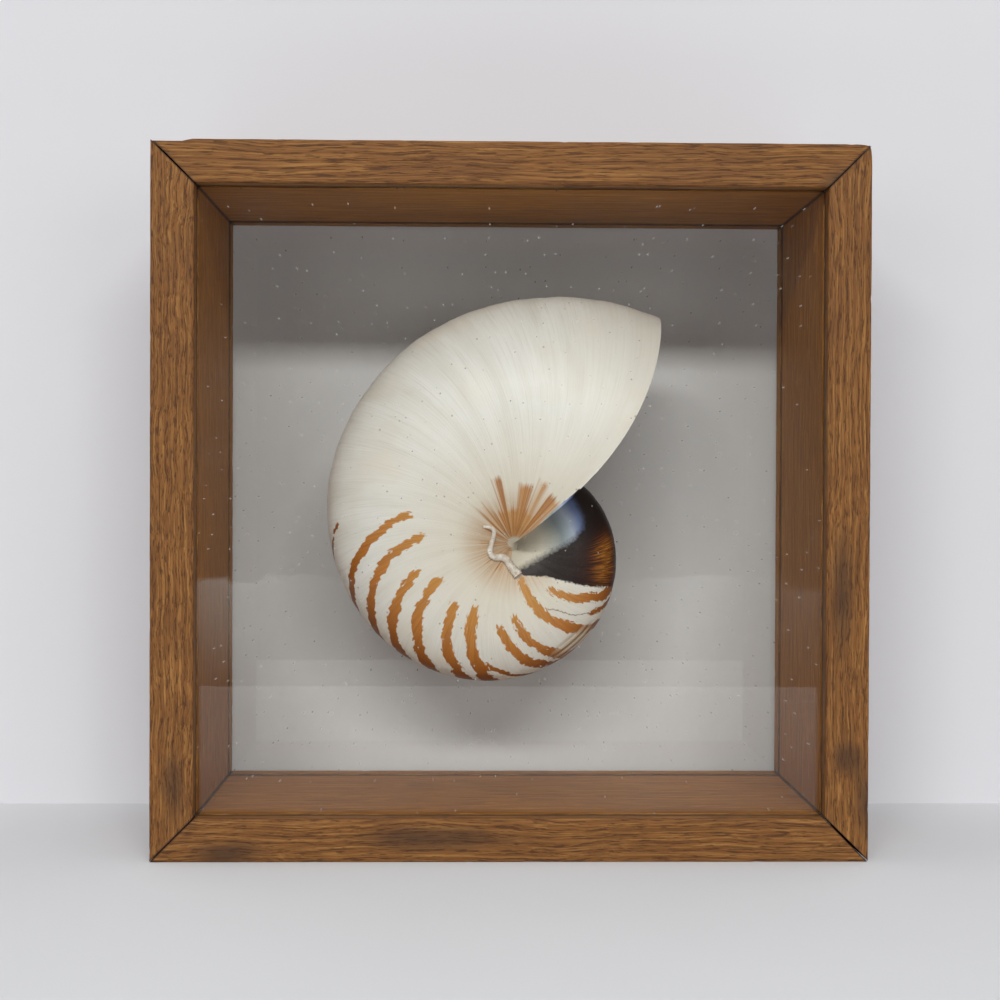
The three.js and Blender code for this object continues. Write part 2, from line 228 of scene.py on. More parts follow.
def make_board(side_name, number):
    """Turns a board's own (l, y, h) into the box's directions, drills it, and marks each point with
    its own place, its place in the tree the board was sawn from, how stained it is, and whether it
    is behind the front pane."""
    low, high, chip, along, inward, short = BOARDS[side_name]
    name = "oak_" + side_name
    points, faces = board(name, low, high, chip)
    middle = np.array([0, 0, SIDE / 2]) - np.array(inward) * SIDE / 2
    turn = np.array([along, (0, 1, 0), inward])
    piece = mesh_piece(name, points @ turn + middle, faces)
    for side in (-1, 1):
        if side_name in ("top", "bottom") or (side_name == "right") == (side > 0):
            drill(piece, side)
    own = (points_of(piece) - middle) @ turn.T
    mark(piece, "own", own)
    mark(piece, "grain", own * [short, 1, 1] + np.array([0.71, 0.013, 0.0]) * (number + 1))
    l, y, h = own.T
    # A stain fades over its spread along the board, 7 mm across it and 32 mm back from the front
    away = [((l - at) / spread) ** 2 + ((h - up) / (7 * MM)) ** 2 for at, up, spread in STAINS[side_name]]
    stain = np.minimum(np.exp(-np.array(away)).sum(axis=0), 1)
    mark(piece, "stain", stain * np.exp(-((y / DEPTH + 0.5) ** 2) / 0.08))
    mark(piece, "indoors", np.clip((h - THICK) / (0.4 * MM) + 1, 0, 1) * (y > FRONT_GROOVE))
    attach(piece, "root")
    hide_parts("frame_" + side_name)
    return piece


def colour(code):
    """An sRGB hex colour as linear RGBA."""
    v = np.array([int(code[i : i + 2], 16) / 255 for i in (1, 3, 5)])
    v = np.where(v <= 0.04045, v / 12.92, ((v + 0.055) / 1.055) ** 2.4)
    return (*v.tolist(), 1.0)


def node(tree, kind, inputs=(), stops=(), **settings):
    """Adds a node with its settings, then its inputs: a node or socket is linked, and anything else
    becomes the input's value. A MapRange's inputs 1 to 4 are the old limits and the new ones, and a
    colour Mix has its share at 0 and its colours at 6 and 7. stops are a colour ramp's (position,
    colour) pairs."""
    made = tree.nodes.new("ShaderNode" + kind)
    for key, value in settings.items():
        setattr(made, key, value)
    for key, value in dict(inputs).items():
        if isinstance(value, bpy.types.Node):
            value = next(socket for socket in value.outputs if socket.enabled)
        if isinstance(value, bpy.types.NodeSocket):
            tree.links.new(value, made.inputs[key])
        else:
            made.inputs[key].default_value = value
    for position, shade in stops[2:]:
        made.color_ramp.elements.new(position)
    for n, (position, shade) in enumerate(stops):
        made.color_ramp.elements[n].position = position
        made.color_ramp.elements[n].color = shade
    return made


def new_material(name):
    """An empty material with its node tree."""
    made = bpy.data.materials.new(name)
    made.use_nodes = True
    made.node_tree.nodes.clear()
    return made, made.node_tree


def dress(piece, material):
    """Gives the piece this material alone."""
    piece.data.materials.clear()
    piece.data.materials.append(material)


def stained_oak():
    """Planed red oak with a worn brown stain, nearly matt. Rings cross the board as dark and light
    bands, open pores show as dark dashes along the grain, the wood is darker along the lines where the
    panes meet it, dirt lies in the mitres, and damp has left darker patches."""
    made, tree = new_material("stained_oak_planed")
    own = node(tree, "Attribute", attribute_name="own").outputs["Vector"]
    grain = node(tree, "Attribute", attribute_name="grain").outputs["Vector"]
    stain = node(tree, "Attribute", attribute_name="stain").outputs["Fac"]
    indoors = node(tree, "Attribute", attribute_name="indoors").outputs["Fac"]
    # The grain wanders by 3 mm or so every 80 mm, and curls by a tenth of a millimetre every 9 mm
    wobble_at = node(tree, "VectorMath", {0: grain, 1: (12, 40, 40)}, operation="MULTIPLY")
    wobble = node(tree, "TexNoise", {"Vector": wobble_at, "Scale": 1.0, "Detail": 2.0})
    lean = node(tree, "VectorMath", {0: wobble.outputs["Color"], 1: (0, 0.007, 0.007)}, operation="MULTIPLY")
    bent = node(tree, "VectorMath", {0: grain, 1: lean}, operation="ADD")
    curl = node(tree, "TexNoise", {"Vector": grain, "Scale": 1 / (9 * MM), "Detail": 1.0})
    lean = node(tree, "VectorMath", {0: curl.outputs["Color"], 1: (0, 0.0004, 0.0004)}, operation="MULTIPLY")
    bent = node(tree, "VectorMath", {0: bent, 1: lean}, operation="ADD")
    # The tree's heart runs along the board, 45 mm beyond its inner face
    heart = node(tree, "VectorMath", {0: bent, 1: (0, -0.02, 0.063)}, operation="SUBTRACT")
    flat = node(tree, "VectorMath", {0: heart, 1: (0, 1, 1)}, operation="MULTIPLY")
    ring_radius = node(tree, "VectorMath", {0: flat}, operation="LENGTH").outputs["Value"]
    rings = node(tree, "Math", {0: ring_radius, 1: 1 / (3.2 * MM)}, operation="MULTIPLY")
    band = node(tree, "Math", {0: rings, 1: 1.0}, operation="FRACT")
    early = node(
        tree, "MapRange", {0: band, 1: 0.0, 2: 0.6, 3: 1.0, 4: 0.0}, interpolation_type="SMOOTHSTEP",
    )
    # Pores drawn 0.5 mm across and up to 10 mm long, coarser than real ones so that they show
    pore_at = node(tree, "VectorMath", {0: bent, 1: (0.1 / MM, 2.0 / MM, 2.0 / MM)}, operation="MULTIPLY")
    pore = node(tree, "TexNoise", {"Vector": pore_at, "Scale": 1.0, "Detail": 2.5, "Roughness": 0.55})
    threshold = node(tree, "MapRange", {0: early, 1: 0.0, 2: 1.0, 3: 0.59, 4: 0.49})
    pores = node(tree, "Math", {0: pore, 1: threshold}, operation="SUBTRACT")
    pores = node(tree, "MapRange", {0: pores, 1: 0.0, 2: 0.07, 3: 0.0, 4: 1.0})
    # Fibre: straight streaks 0.7 mm across and 70 mm long, and finer
    fibre_at = node(tree, "VectorMath", {0: bent, 1: (0.014 / MM, 1.4 / MM, 1.4 / MM)}, operation="MULTIPLY")
    fibre = node(tree, "TexNoise", {"Vector": fibre_at, "Scale": 1.0, "Detail": 4.0, "Roughness": 0.65})
    patch_at = node(tree, "VectorMath", {0: grain, 1: (18, 45, 45)}, operation="MULTIPLY")
    patches = node(tree, "TexNoise", {"Vector": patch_at, "Scale": 1.0, "Detail": 5.0, "Roughness": 0.65})
    wood = node(
        tree, "ValToRGB", {"Fac": fibre},
        stops=[(0.3, colour("#54320f")), (0.5, colour("#815425")), (0.7, colour("#a5773f"))],
    )
    dark_rings = node(tree, "Math", {0: early, 1: 0.5}, operation="MULTIPLY")
    blotch = node(tree, "MapRange", {0: patches, 1: 0.42, 2: 0.75, 3: 0.0, 4: 0.4})
    # Behind the glass the finish is warmer and evener, its grain is fine, and its pores are filled
    kept_tone = node(
        tree, "ValToRGB", {"Fac": fibre},
        stops=[(0.32, colour("#744210")), (0.5, colour("#a3681f")), (0.68, colour("#cc8f42"))],
    )
    kept = node(tree, "Math", {0: indoors, 1: 0.8}, operation="MULTIPLY")
    open_pores = node(tree, "MapRange", {0: indoors, 3: 0.75, 4: 0.2})
    poked = node(tree, "Math", {0: pores, 1: open_pores}, operation="MULTIPLY")
    uneven = node(tree, "Math", {0: patches, 1: fibre}, operation="ADD")
    uneven = node(tree, "Math", {0: stain, 1: uneven}, operation="MULTIPLY")
    damp = node(tree, "MapRange", {0: uneven, 1: 0.45, 2: 1.05, 3: 0.0, 4: 0.75})
    coats = [
        (dark_rings, colour("#75441a")), (blotch, colour("#603a1a")), (kept, kept_tone),
        (damp, colour("#33241a")), (poked, colour("#43260f")),
    ]
    # Darker within 3.6 mm of the line where each pane meets the wood, and dirt along the mitres
    for groove, width in ((FRONT_GROOVE, 2.2 * MM), (BACK_GROOVE, 2.6 * MM)):
        away = node(tree, "VectorMath", {0: own, 1: (0, groove, THICK)}, operation="SUBTRACT")
        away = node(tree, "VectorMath", {0: away, 1: (0, 1, 1)}, operation="MULTIPLY")
        away = node(tree, "VectorMath", {0: away}, operation="LENGTH").outputs["Value"]
        darkened = node(tree, "MapRange", {0: away, 1: width * 0.5, 2: width * 1.4, 3: 0.9, 4: 0.0})
        coats.append((darkened, colour("#26170c")))
    across = node(tree, "SeparateXYZ", {0: node(tree, "VectorMath", {0: own}, operation="ABSOLUTE")})
    away = node(tree, "Math", {0: across.outputs["X"], 1: across.outputs["Z"]}, operation="ADD")
    away = node(tree, "Math", {0: SIDE / 2, 1: away}, operation="SUBTRACT")
    darkened = node(tree, "MapRange", {0: away, 1: 0.5 * MM, 2: 1.3 * MM, 3: 0.75, 4: 0.0})
    coats.append((darkened, colour("#26170c")))
    final = wood
    for amount, shade in coats:
        final = node(tree, "Mix", {0: amount, 6: final, 7: shade}, data_type="RGBA")
    rough = node(tree, "MapRange", {0: fibre, 1: 0.2, 2: 0.8, 3: 0.55, 4: 0.72})
    height = node(tree, "Math", {0: fibre, 1: poked}, operation="SUBTRACT")
    bump = node(tree, "Bump", {"Height": height, "Strength": 0.6, "Distance": 0.25 * MM})
    surface = node(
        tree, "BsdfPrincipled",
        {"Base Color": final, "Roughness": rough, "Normal": bump, "IOR": 1.5, "Specular IOR Level": 0.3},
    )
    node(tree, "OutputMaterial", {"Surface": surface})
    return made


oak = stained_oak()
for number, side_name in enumerate(BOARDS):
    dress(make_board(side_name, number), oak)

# ---- Panes ----
# Two panes of float glass, 2.5 mm thick, slid into the grooves before the last board went on. They
# carry dust, faint smears and a few specks, and the front one a painted reflection: a pale band at each
# side.
REFLECTION_TOP, REFLECTION_FADE = 118 * MM, 45 * MM


def float_glass():
    """Clear float glass, fire-polished: it lets nearly all light through, reflects more towards
    grazing angles, and shows where dust and smears lie on it. The front pane also carries a painted
    reflection in pale bands."""
    made, tree = new_material("float_glass_dusty")
    place = node(tree, "TexCoord").outputs["Object"]
    clear = node(tree, "BsdfTransparent", {"Color": colour("#fffffe")})
    gloss = node(tree, "BsdfGlossy", {"Color": (1, 1, 1, 1), "Roughness": 0.0})
    # Reflection by Schlick's rule, alike from both sides: 3% face on, all at grazing angles
    facing = node(tree, "LayerWeight", {"Blend": 0.5}).outputs["Facing"]
    steep = node(tree, "Math", {0: facing, 1: 5.0}, operation="POWER")
    mirrored = node(tree, "MapRange", {0: steep, 3: 0.03, 4: 1.0})
    pane = node(tree, "MixShader", {0: mirrored, 1: clear, 2: gloss})
    # Specks of dust 0.5 mm across, about one every 12 mm: the faint ones are pale, the bold ones dark
    where = node(tree, "SeparateXYZ", {0: place})
    flat = node(tree, "CombineXYZ", {0: where.outputs["X"], 1: where.outputs["Z"]})
    cells = node(tree, "TexVoronoi", {"Vector": flat, "Scale": 1 / (7 * MM)}, voronoi_dimensions="2D")
    speck = node(tree, "MapRange", {0: cells.outputs["Distance"], 1: 0.02, 2: 0.055, 3: 0.7, 4: 0.0})
    size = node(tree, "MapRange", {0: cells.outputs["Color"], 1: 0.56, 2: 0.85, 3: 0.0, 4: 1.0})
    specks = node(tree, "Math", {0: speck, 1: size}, operation="MULTIPLY")
    smear_at = node(tree, "VectorMath", {0: place, 1: (14, 14, 9)}, operation="MULTIPLY")
    smears = node(tree, "TexNoise", {"Vector": smear_at, "Scale": 1.0, "Detail": 5.0, "Distortion": 1.5})
    # The painted reflection is brightest along its upper edge, which waves 6 mm up and down, and is gone
    # 45 mm lower. It lies at the left edge, between the middle and the right edge, and at the right.
    edge = node(tree, "MapRange", {0: smears, 1: 0.3, 2: 0.7, 3: -6 * MM, 4: 6 * MM})
    up = node(tree, "Math", {0: where.outputs["Z"], 1: edge}, operation="ADD")
    under = node(tree, "MapRange", {0: up, 1: REFLECTION_TOP - 1.5 * MM, 2: REFLECTION_TOP + 0.5 * MM, 3: 1.0, 4: 0.0})
    faded = node(tree, "MapRange", {0: up, 1: REFLECTION_TOP - REFLECTION_FADE, 2: REFLECTION_TOP})
    across = node(tree, "MapRange", {0: where.outputs["X"], 1: -0.14, 2: 0.14})
    aside = node(
        tree, "ValToRGB", {"Fac": across},
        stops=[(0.0, (1, 1, 1, 1)), (0.17, (0.5, 0.5, 0.5, 1)), (0.3, (0, 0, 0, 1)), (0.66, (0, 0, 0, 1)),
               (0.78, (1, 1, 1, 1)), (0.88, (0.1, 0.1, 0.1, 1)), (1.0, (0.3, 0.3, 0.3, 1))],
    )
    # The painted reflection lies on the front pane alone
    in_front = node(tree, "MapRange", {0: where.outputs["Y"], 1: -0.01, 2: 0.01, 3: 0.085, 4: 0.0})
    painted_reflection = node(tree, "Math", {0: under, 1: faded}, operation="MULTIPLY")
    painted_reflection = node(tree, "Math", {0: painted_reflection, 1: aside}, operation="MULTIPLY")
    painted_reflection = node(tree, "Math", {0: painted_reflection, 1: in_front}, operation="MULTIPLY")
    film = node(tree, "MapRange", {0: smears, 1: 0.5, 2: 0.85, 3: 0.0, 4: 0.01})
    # The smears' faint dust film, with the painted reflection added on the front pane
    film = node(tree, "Math", {0: film, 1: painted_reflection}, operation="ADD")
    dust_and_reflection = node(tree, "Math", {0: specks, 1: film}, operation="MAXIMUM")
    darkened = node(tree, "MapRange", {0: cells.outputs["Color"], 1: 0.62, 2: 0.66, 3: 0.0, 4: 1.0})
    darkened = node(tree, "Math", {0: darkened, 1: specks}, operation="MULTIPLY")
    tone = node(tree, "Mix", {0: darkened, 6: colour("#dcdcd8"), 7: colour("#332f2b")}, data_type="RGBA")
    grey = node(tree, "BsdfDiffuse", {"Color": tone})
    surface = node(tree, "MixShader", {0: dust_and_reflection, 1: pane, 2: grey})
    node(tree, "OutputMaterial", {"Surface": surface})
    return made


glass = float_glass()
for name in ("front_glass", "back_glass"):
    dress(bpy.data.objects[name], glass)

# ---- Corner nails ----
# Eight steel brads, two through each side board's end, set a millimetre below the wood.


def drawn_steel():
    """Bright drawn steel wire gone dull: grey metal with brown rust in patches of 1 or 2 mm."""
    made, tree = new_material("drawn_steel_rusted")
    place = node(tree, "TexCoord").outputs["Object"]
    rust = node(tree, "TexNoise", {"Vector": place, "Scale": 1 / (1.5 * MM), "Detail": 4.0})
    patch = node(tree, "MapRange", {0: rust, 1: 0.48, 2: 0.6, 3: 0.0, 4: 1.0})
    tone = node(tree, "Mix", {0: patch, 6: colour("#8f9092"), 7: colour("#5d3a26")}, data_type="RGBA")
    metal = node(tree, "Math", {0: 1.0, 1: patch}, operation="SUBTRACT")
    rough = node(tree, "MapRange", {0: patch, 3: 0.35, 4: 0.85})
    surface = node(tree, "BsdfPrincipled", {"Base Color": tone, "Metallic": metal, "Roughness": rough})
    node(tree, "OutputMaterial", {"Surface": surface})
    return made


steel = drawn_steel()
for n in range(1, 9):
    dress(bpy.data.objects[f"nail_{n}"], steel)

# ---- Shell ----
# One nautilus shell, coiled on a logarithmic spiral about an axis along Y: porcelain outside with
# flame stripes, a black film on the whorl that the mouth covers, and pearl where it is worn through.
# Its wall is thin, and the body chamber behind the lip is open.
AXIS_X, AXIS_Z = 1.8 * MM, 133.7 * MM
LIP_RADIUS, HALF_WIDTH = 122.5 * MM, 43 / 122.5
LIP_ANGLE, LIP_SWING = math.radians(57), math.radians(18.3)
GROWTH = 0.1806
# In shares of a whorl's radius, how far out its side is widest and its navel starts; its rim's power
# and its navel's dip; and how far along the section, of 1, the side is widest
WIDEST, NAVEL, OUTER_CURVE, NAVEL_DIP, BEND = 0.4, 0.06, 2.2, 0.36, 0.68
STEPS, ACROSS = 420, 44
CHAMBER_TURN, DISH = math.radians(126), 0.16


def section(share):
    """Half a whorl's section in units of its radius: from the rim (share 0) a superellipse to the
    widest place (share BEND), then a gentle dip to the navel (share 1). Gives (s, w)."""
    a = np.minimum(share / BEND, 1) * math.pi / 2
    rim = WIDEST + (1 - WIDEST) * np.cos(a) ** (2 / OUTER_CURVE)
    s = np.where(share < BEND, rim, WIDEST + (NAVEL - WIDEST) * (share - BEND) / (1 - BEND))
    sunk = 1 - NAVEL_DIP * (np.maximum(WIDEST - s, 0) / WIDEST) ** 2
    return s, HALF_WIDTH * np.sin(a) * sunk


def spiral(turn, s, w):
    """Points of the spiral, turn radians back from the lip: the radius shrinks by the same share each
    turn, growth lines swing forward away from the rim, and the wall swells gently every few
    millimetres of growth."""
    radius = LIP_RADIUS * np.exp(-GROWTH * turn)
    swell = 1 + 0.0016 * ripple(turn, 1, 0.21) + 0.0022 * ripple(turn, 5, 0.9)
    angle = LIP_ANGLE + turn - LIP_SWING * np.sin(math.pi / 2 * (1 - np.minimum(s, 1)))
    out = s * radius * swell
    return np.stack([AXIS_X + out * np.cos(angle), w * radius * swell, AXIS_Z + out * np.sin(angle)], -1)


def outer_section():
    """The whole section from one navel over the rim to the other, as (s, w)."""
    share = np.linspace(-1, 1, 2 * ACROSS + 1)
    s, w = section(np.abs(share))
    return s, w * np.sign(share)


def inner_section(turn):
    """The section moved in by the wall, which is 0.9 mm at the lip and 1.8 mm further back. Each
    turn gives one row."""
    wall = (0.9 + 0.9 * np.clip(turn / 0.7, 0, 1)) * MM / (LIP_RADIUS * np.exp(-GROWTH * turn))
    s, w = outer_section()
    ds, dw = np.gradient(s), np.gradient(w)
    long = np.hypot(ds, dw)
    s, w = s - wall[:, None] * dw / long, w + wall[:, None] * ds / long
    # At each navel the wall is thicker
    s[:, [0, -1]] += 0.03
    return s, w


def swept(name, turns, s, w, dish):
    """A solid swept along the spiral, closed at both ends. Each end is dished back by dish radians:
    its rings shrink towards their middle as the square root of 1 - size^2 grows."""
    small = np.sin(np.linspace(0, math.pi / 2, 12))[:-1]
    sizes = np.concatenate([small, np.ones(len(turns)), small[::-1]])[:, None]
    row = np.clip(np.arange(len(sizes)) - len(small), 0, len(turns) - 1)
    middle = s[row].mean(axis=1, keepdims=True)
    turn = turns[row][:, None] + dish * np.sqrt(1 - sizes**2)
    points = spiral(turn, middle + (s[row] - middle) * sizes, w[row] * sizes)
    faces = grid_faces(*points.shape[:2], wrap_columns=True)
    return mesh_piece(name, points.reshape(-1, 3), faces)


def filled_turn():
    """One whole turn, filled: the spiral surface, the face from the lip to the whorl inside it, and
    on each side a fan from the navel's rim to the axis."""
    s, w = outer_section()
    turn = (np.arange(STEPS + 1) * 2 * math.pi / STEPS)[:, None]
    points = spiral(turn, s, w)
    hubs = [np.full((STEPS + 1, 1, 3), [AXIS_X, points[:, side, 1].mean(), AXIS_Z]) for side in (0, -1)]
    points = np.concatenate([hubs[0], points, hubs[1]], axis=1)
    faces = grid_faces(*points.shape[:2], wrap_rows=True)
    return mesh_piece("shell", points.reshape(-1, 3), faces)


def whorl_steps(first, last):
    """The turns of the grid's own rows between two turns, so that whorls meet point for point."""
    return np.arange(round(first * STEPS), round(last * STEPS) + 1) * 2 * math.pi / STEPS


def carved_shell(outside, lining):
    """The filled turn, less the body chamber, but with the whorl that the chamber wraps round. The
    chamber's faces take the lining and all others the outside."""
    shell = filled_turn()
    # The chamber's solid starts 0.3 radians ahead of the lip, so that it cuts the mouth open
    turns = np.linspace(-0.3, CHAMBER_TURN, 150)
    chamber = swept("chamber", turns, *inner_section(turns), DISH)
    turns = whorl_steps(0.9, 1.8)
    s, w = (np.tile(part, (len(turns), 1)) for part in outer_section())
    inner_whorl = swept("inner_whorl", turns, s, w, 0)
    for piece, layer in ((shell, 0), (chamber, 1), (inner_whorl, 0)):
        for finish in (outside, lining):
            piece.data.materials.append(finish)
        piece.data.polygons.foreach_set("material_index", np.full(len(piece.data.polygons), layer))
    cut(chamber, inner_whorl)
    cut(shell, chamber)
    return shell


def place_on_spiral(points):
    """Where each point lies on the spiral: turn (radians back from the lip), share (0 rim, 1 navel)
    and s. turn and s hang on each other, and twelve rounds settle them. A point fits the outer turn
    or the one inside it, and the better fit is taken: the fit is how near the point comes to the
    section's superellipse. Points just ahead of the lip count with it, not with the turn's end."""
    x, y, z = points[:, 0] - AXIS_X, points[:, 1], points[:, 2] - AXIS_Z
    reach, angle = np.hypot(x, z), np.arctan2(z, x)
    best = None
    for whole in (0, 1):
        s = np.full(len(x), 0.5)
        for _ in range(12):
            swing = LIP_SWING * np.sin(math.pi / 2 * (1 - np.clip(s, 0, 1)))
            turn = (angle - LIP_ANGLE + swing + 0.04) % (2 * math.pi) - 0.04 + whole * 2 * math.pi
            radius = LIP_RADIUS * np.exp(-GROWTH * turn)
            s = 0.5 * s + 0.5 * np.minimum(reach / radius, 1.2)
        sunk = 1 - NAVEL_DIP * (np.maximum(WIDEST - s, 0) / WIDEST) ** 2
        up = (np.maximum(s - WIDEST, 0) / (1 - WIDEST)) ** (OUTER_CURVE / 2)
        side = np.abs(y) / radius / HALF_WIDTH / sunk
        misfit = np.abs(np.hypot(up, side) - 1)
        outward = np.arctan2(side, up) / (math.pi / 2) * BEND
        share = np.where(s > WIDEST, outward, BEND + (1 - BEND) * (WIDEST - s) / (WIDEST - NAVEL))
        found = np.stack([turn, share, s, misfit])
        best = found if best is None else np.where(found[3] < best[3], found, best)
    return best[0], np.clip(best[1], 0, 1), best[2]


# Flame stripes: turn at the rim and at the inner end (degrees back from the lip), share of the inner
# end (0 rim, 1 navel), width in mm at the rim and at the inner end
FLAMES = [
    (131, 119, 0.20, 4.0, 1.6), (149, 119.5, 0.56, 6.0, 3.2), (162, 131, 0.61, 6.6, 3.0),
    (172, 150.5, 0.55, 7.4, 2.8), (185, 161.5, 0.61, 7.6, 3.2), (197, 181, 0.58, 7.2, 3.0),
    (206, 195, 0.60, 7.0, 3.4), (225, 205, 0.30, 5.0, 2.4), (235, 214.5, 0.53, 7.2, 3.0),
    (243, 226, 0.58, 7.0, 2.4), (261, 241, 0.765, 5.6, 3.0), (282, 266, 0.60, 6.2, 2.6),
    (275, 265, 0.27, 4.6, 2.2),
]
# Brown rays out of the navel: angle above +X and half-spread in degrees, length in mm, and how
# pointed the ray is, from 0 (a wedge) to 1 (a spike)
RAYS = [(131, 15, 23, 0.9), (104, 8, 30, 0.45), (79, 9, 27, 0.2), (64, 6, 31, 0.3), (50, 9, 27, 0.1),
        (85, 50, 16, 0.3), (150, 14, 15, 0.7), (178, 8, 14, 0.8), (214, 8, 14, 0.8), (240, 7, 13, 0.8)]


def beyond_flames(turn, share, s):
    """How far each point lies outside the nearest flame stripe, in mm, and below zero inside it. A
    stripe's middle leans from its turn at the rim to its turn at the inner end in step with share,
    and past the inner end the distance along the wall is added."""
    radius = LIP_RADIUS * np.exp(-GROWTH * turn) / MM
    least = np.full(len(turn), 99.0)
    for rim, end, reach, wide, narrow in FLAMES:
        along = share / reach
        middle = np.radians(rim + (end - rim) * np.minimum(along, 1))
        middle = middle + 0.012 * ripple(share, rim, 0.35)
        aside = np.abs(turn - middle) * s * radius * 0.85
        past = np.maximum(share - reach, 0) * radius * 0.9
        width = (wide + (narrow - wide) * np.minimum(along, 1)) * (1 + 0.2 * ripple(share, end, 0.22))
        least = np.minimum(least, np.hypot(aside, past) - width / 2)
    return least


def beyond_rays(points):
    """The same for the navel's rays, which are wedges in the shell's side view: the larger of the
    distance past the wedge's side and past its end."""
    x, z = (points[:, 0] - AXIS_X) / MM, (points[:, 2] - AXIS_Z) / MM
    reach, angle = np.hypot(x, z), np.arctan2(z, x)
    least = np.full(len(x), 99.0)
    for degrees, spread, length, pointed in RAYS:
        turned = np.abs((angle - math.radians(degrees) + math.pi) % (2 * math.pi) - math.pi)
        half = math.radians(spread) * (1 - pointed * np.minimum(reach / length, 1))
        least = np.minimum(least, np.maximum((turned - half) * reach, reach - length))
    return least


def mark_shell(shell):
    """Writes the marks that the shell's finish reads, most of them distances in mm that are below
    zero inside the mark."""
    points = points_of(shell)
    turn, share, s = place_on_spiral(points)
    x, z = (points[:, 0] - AXIS_X) / MM, (points[:, 2] - AXIS_Z) / MM
    mark(shell, "turn", turn)
    mark(shell, "share", share * np.sign(points[:, 1]))
    mark(shell, "flame_edge", beyond_flames(turn, share, s))
    mark(shell, "ray", beyond_rays(points))
    # The film starts 280 degrees back from the lip, sooner towards the navel, whose pit stays bare
    starts = np.radians(280 - 35 * np.minimum(share / 0.81, 1) ** 9)
    film = (starts - turn) * np.hypot(x, z)
    mark(shell, "film", np.maximum(film, 9.5 - np.hypot(x, z)))
    # Pearl: a blunt patch from the navel up towards the lip, 8.5 mm wide below its line, 16.5 above
    start, end = np.array([1.0, -3.0]), np.array([24.5, 10.5])
    length = np.linalg.norm(end - start)
    way_x, way_z = (end - start) / length
    along = (x - start[0]) * way_x + (z - start[1]) * way_z
    aside = (z - start[1]) * way_x - (x - start[0]) * way_z
    past_end = along - np.clip(along, 0, length)
    past_side = np.minimum(aside, 0) + np.maximum(aside - 8, 0)
    mark(shell, "pearl_patch", np.hypot(past_end, past_side) - 8.5)
    # Amber: where the film is worn thin towards the rim
    amber = sum(
        np.exp(-(((np.degrees(turn) - at) / 9) ** 2) - ((share - out) / 0.16) ** 2)
        for at, out in ((303, 0.27), (288, 0.27))
    )
    mark(shell, "amber", amber)
    # The pearl shows on the older whorl alone, more than 225 degrees back from the lip
    mark(shell, "covered", np.where(turn > math.radians(225), 1.0, 0.0))
    mark(shell, "navel", np.hypot(x, z))
    # The healed break: a crack 23 mm long across the side, and ribs along the whorl beyond it
    mark(shell, "crack", z + 30 + 0.12 * (x - 15) - 0.8 * np.sin((x - 14) * 0.36))
    mark(shell, "crack_run", np.abs(x - 26.5) - 11.5)
    mark(shell, "scar", np.hypot(np.degrees(turn) - 247, (share - 0.19) * 120) - 15)


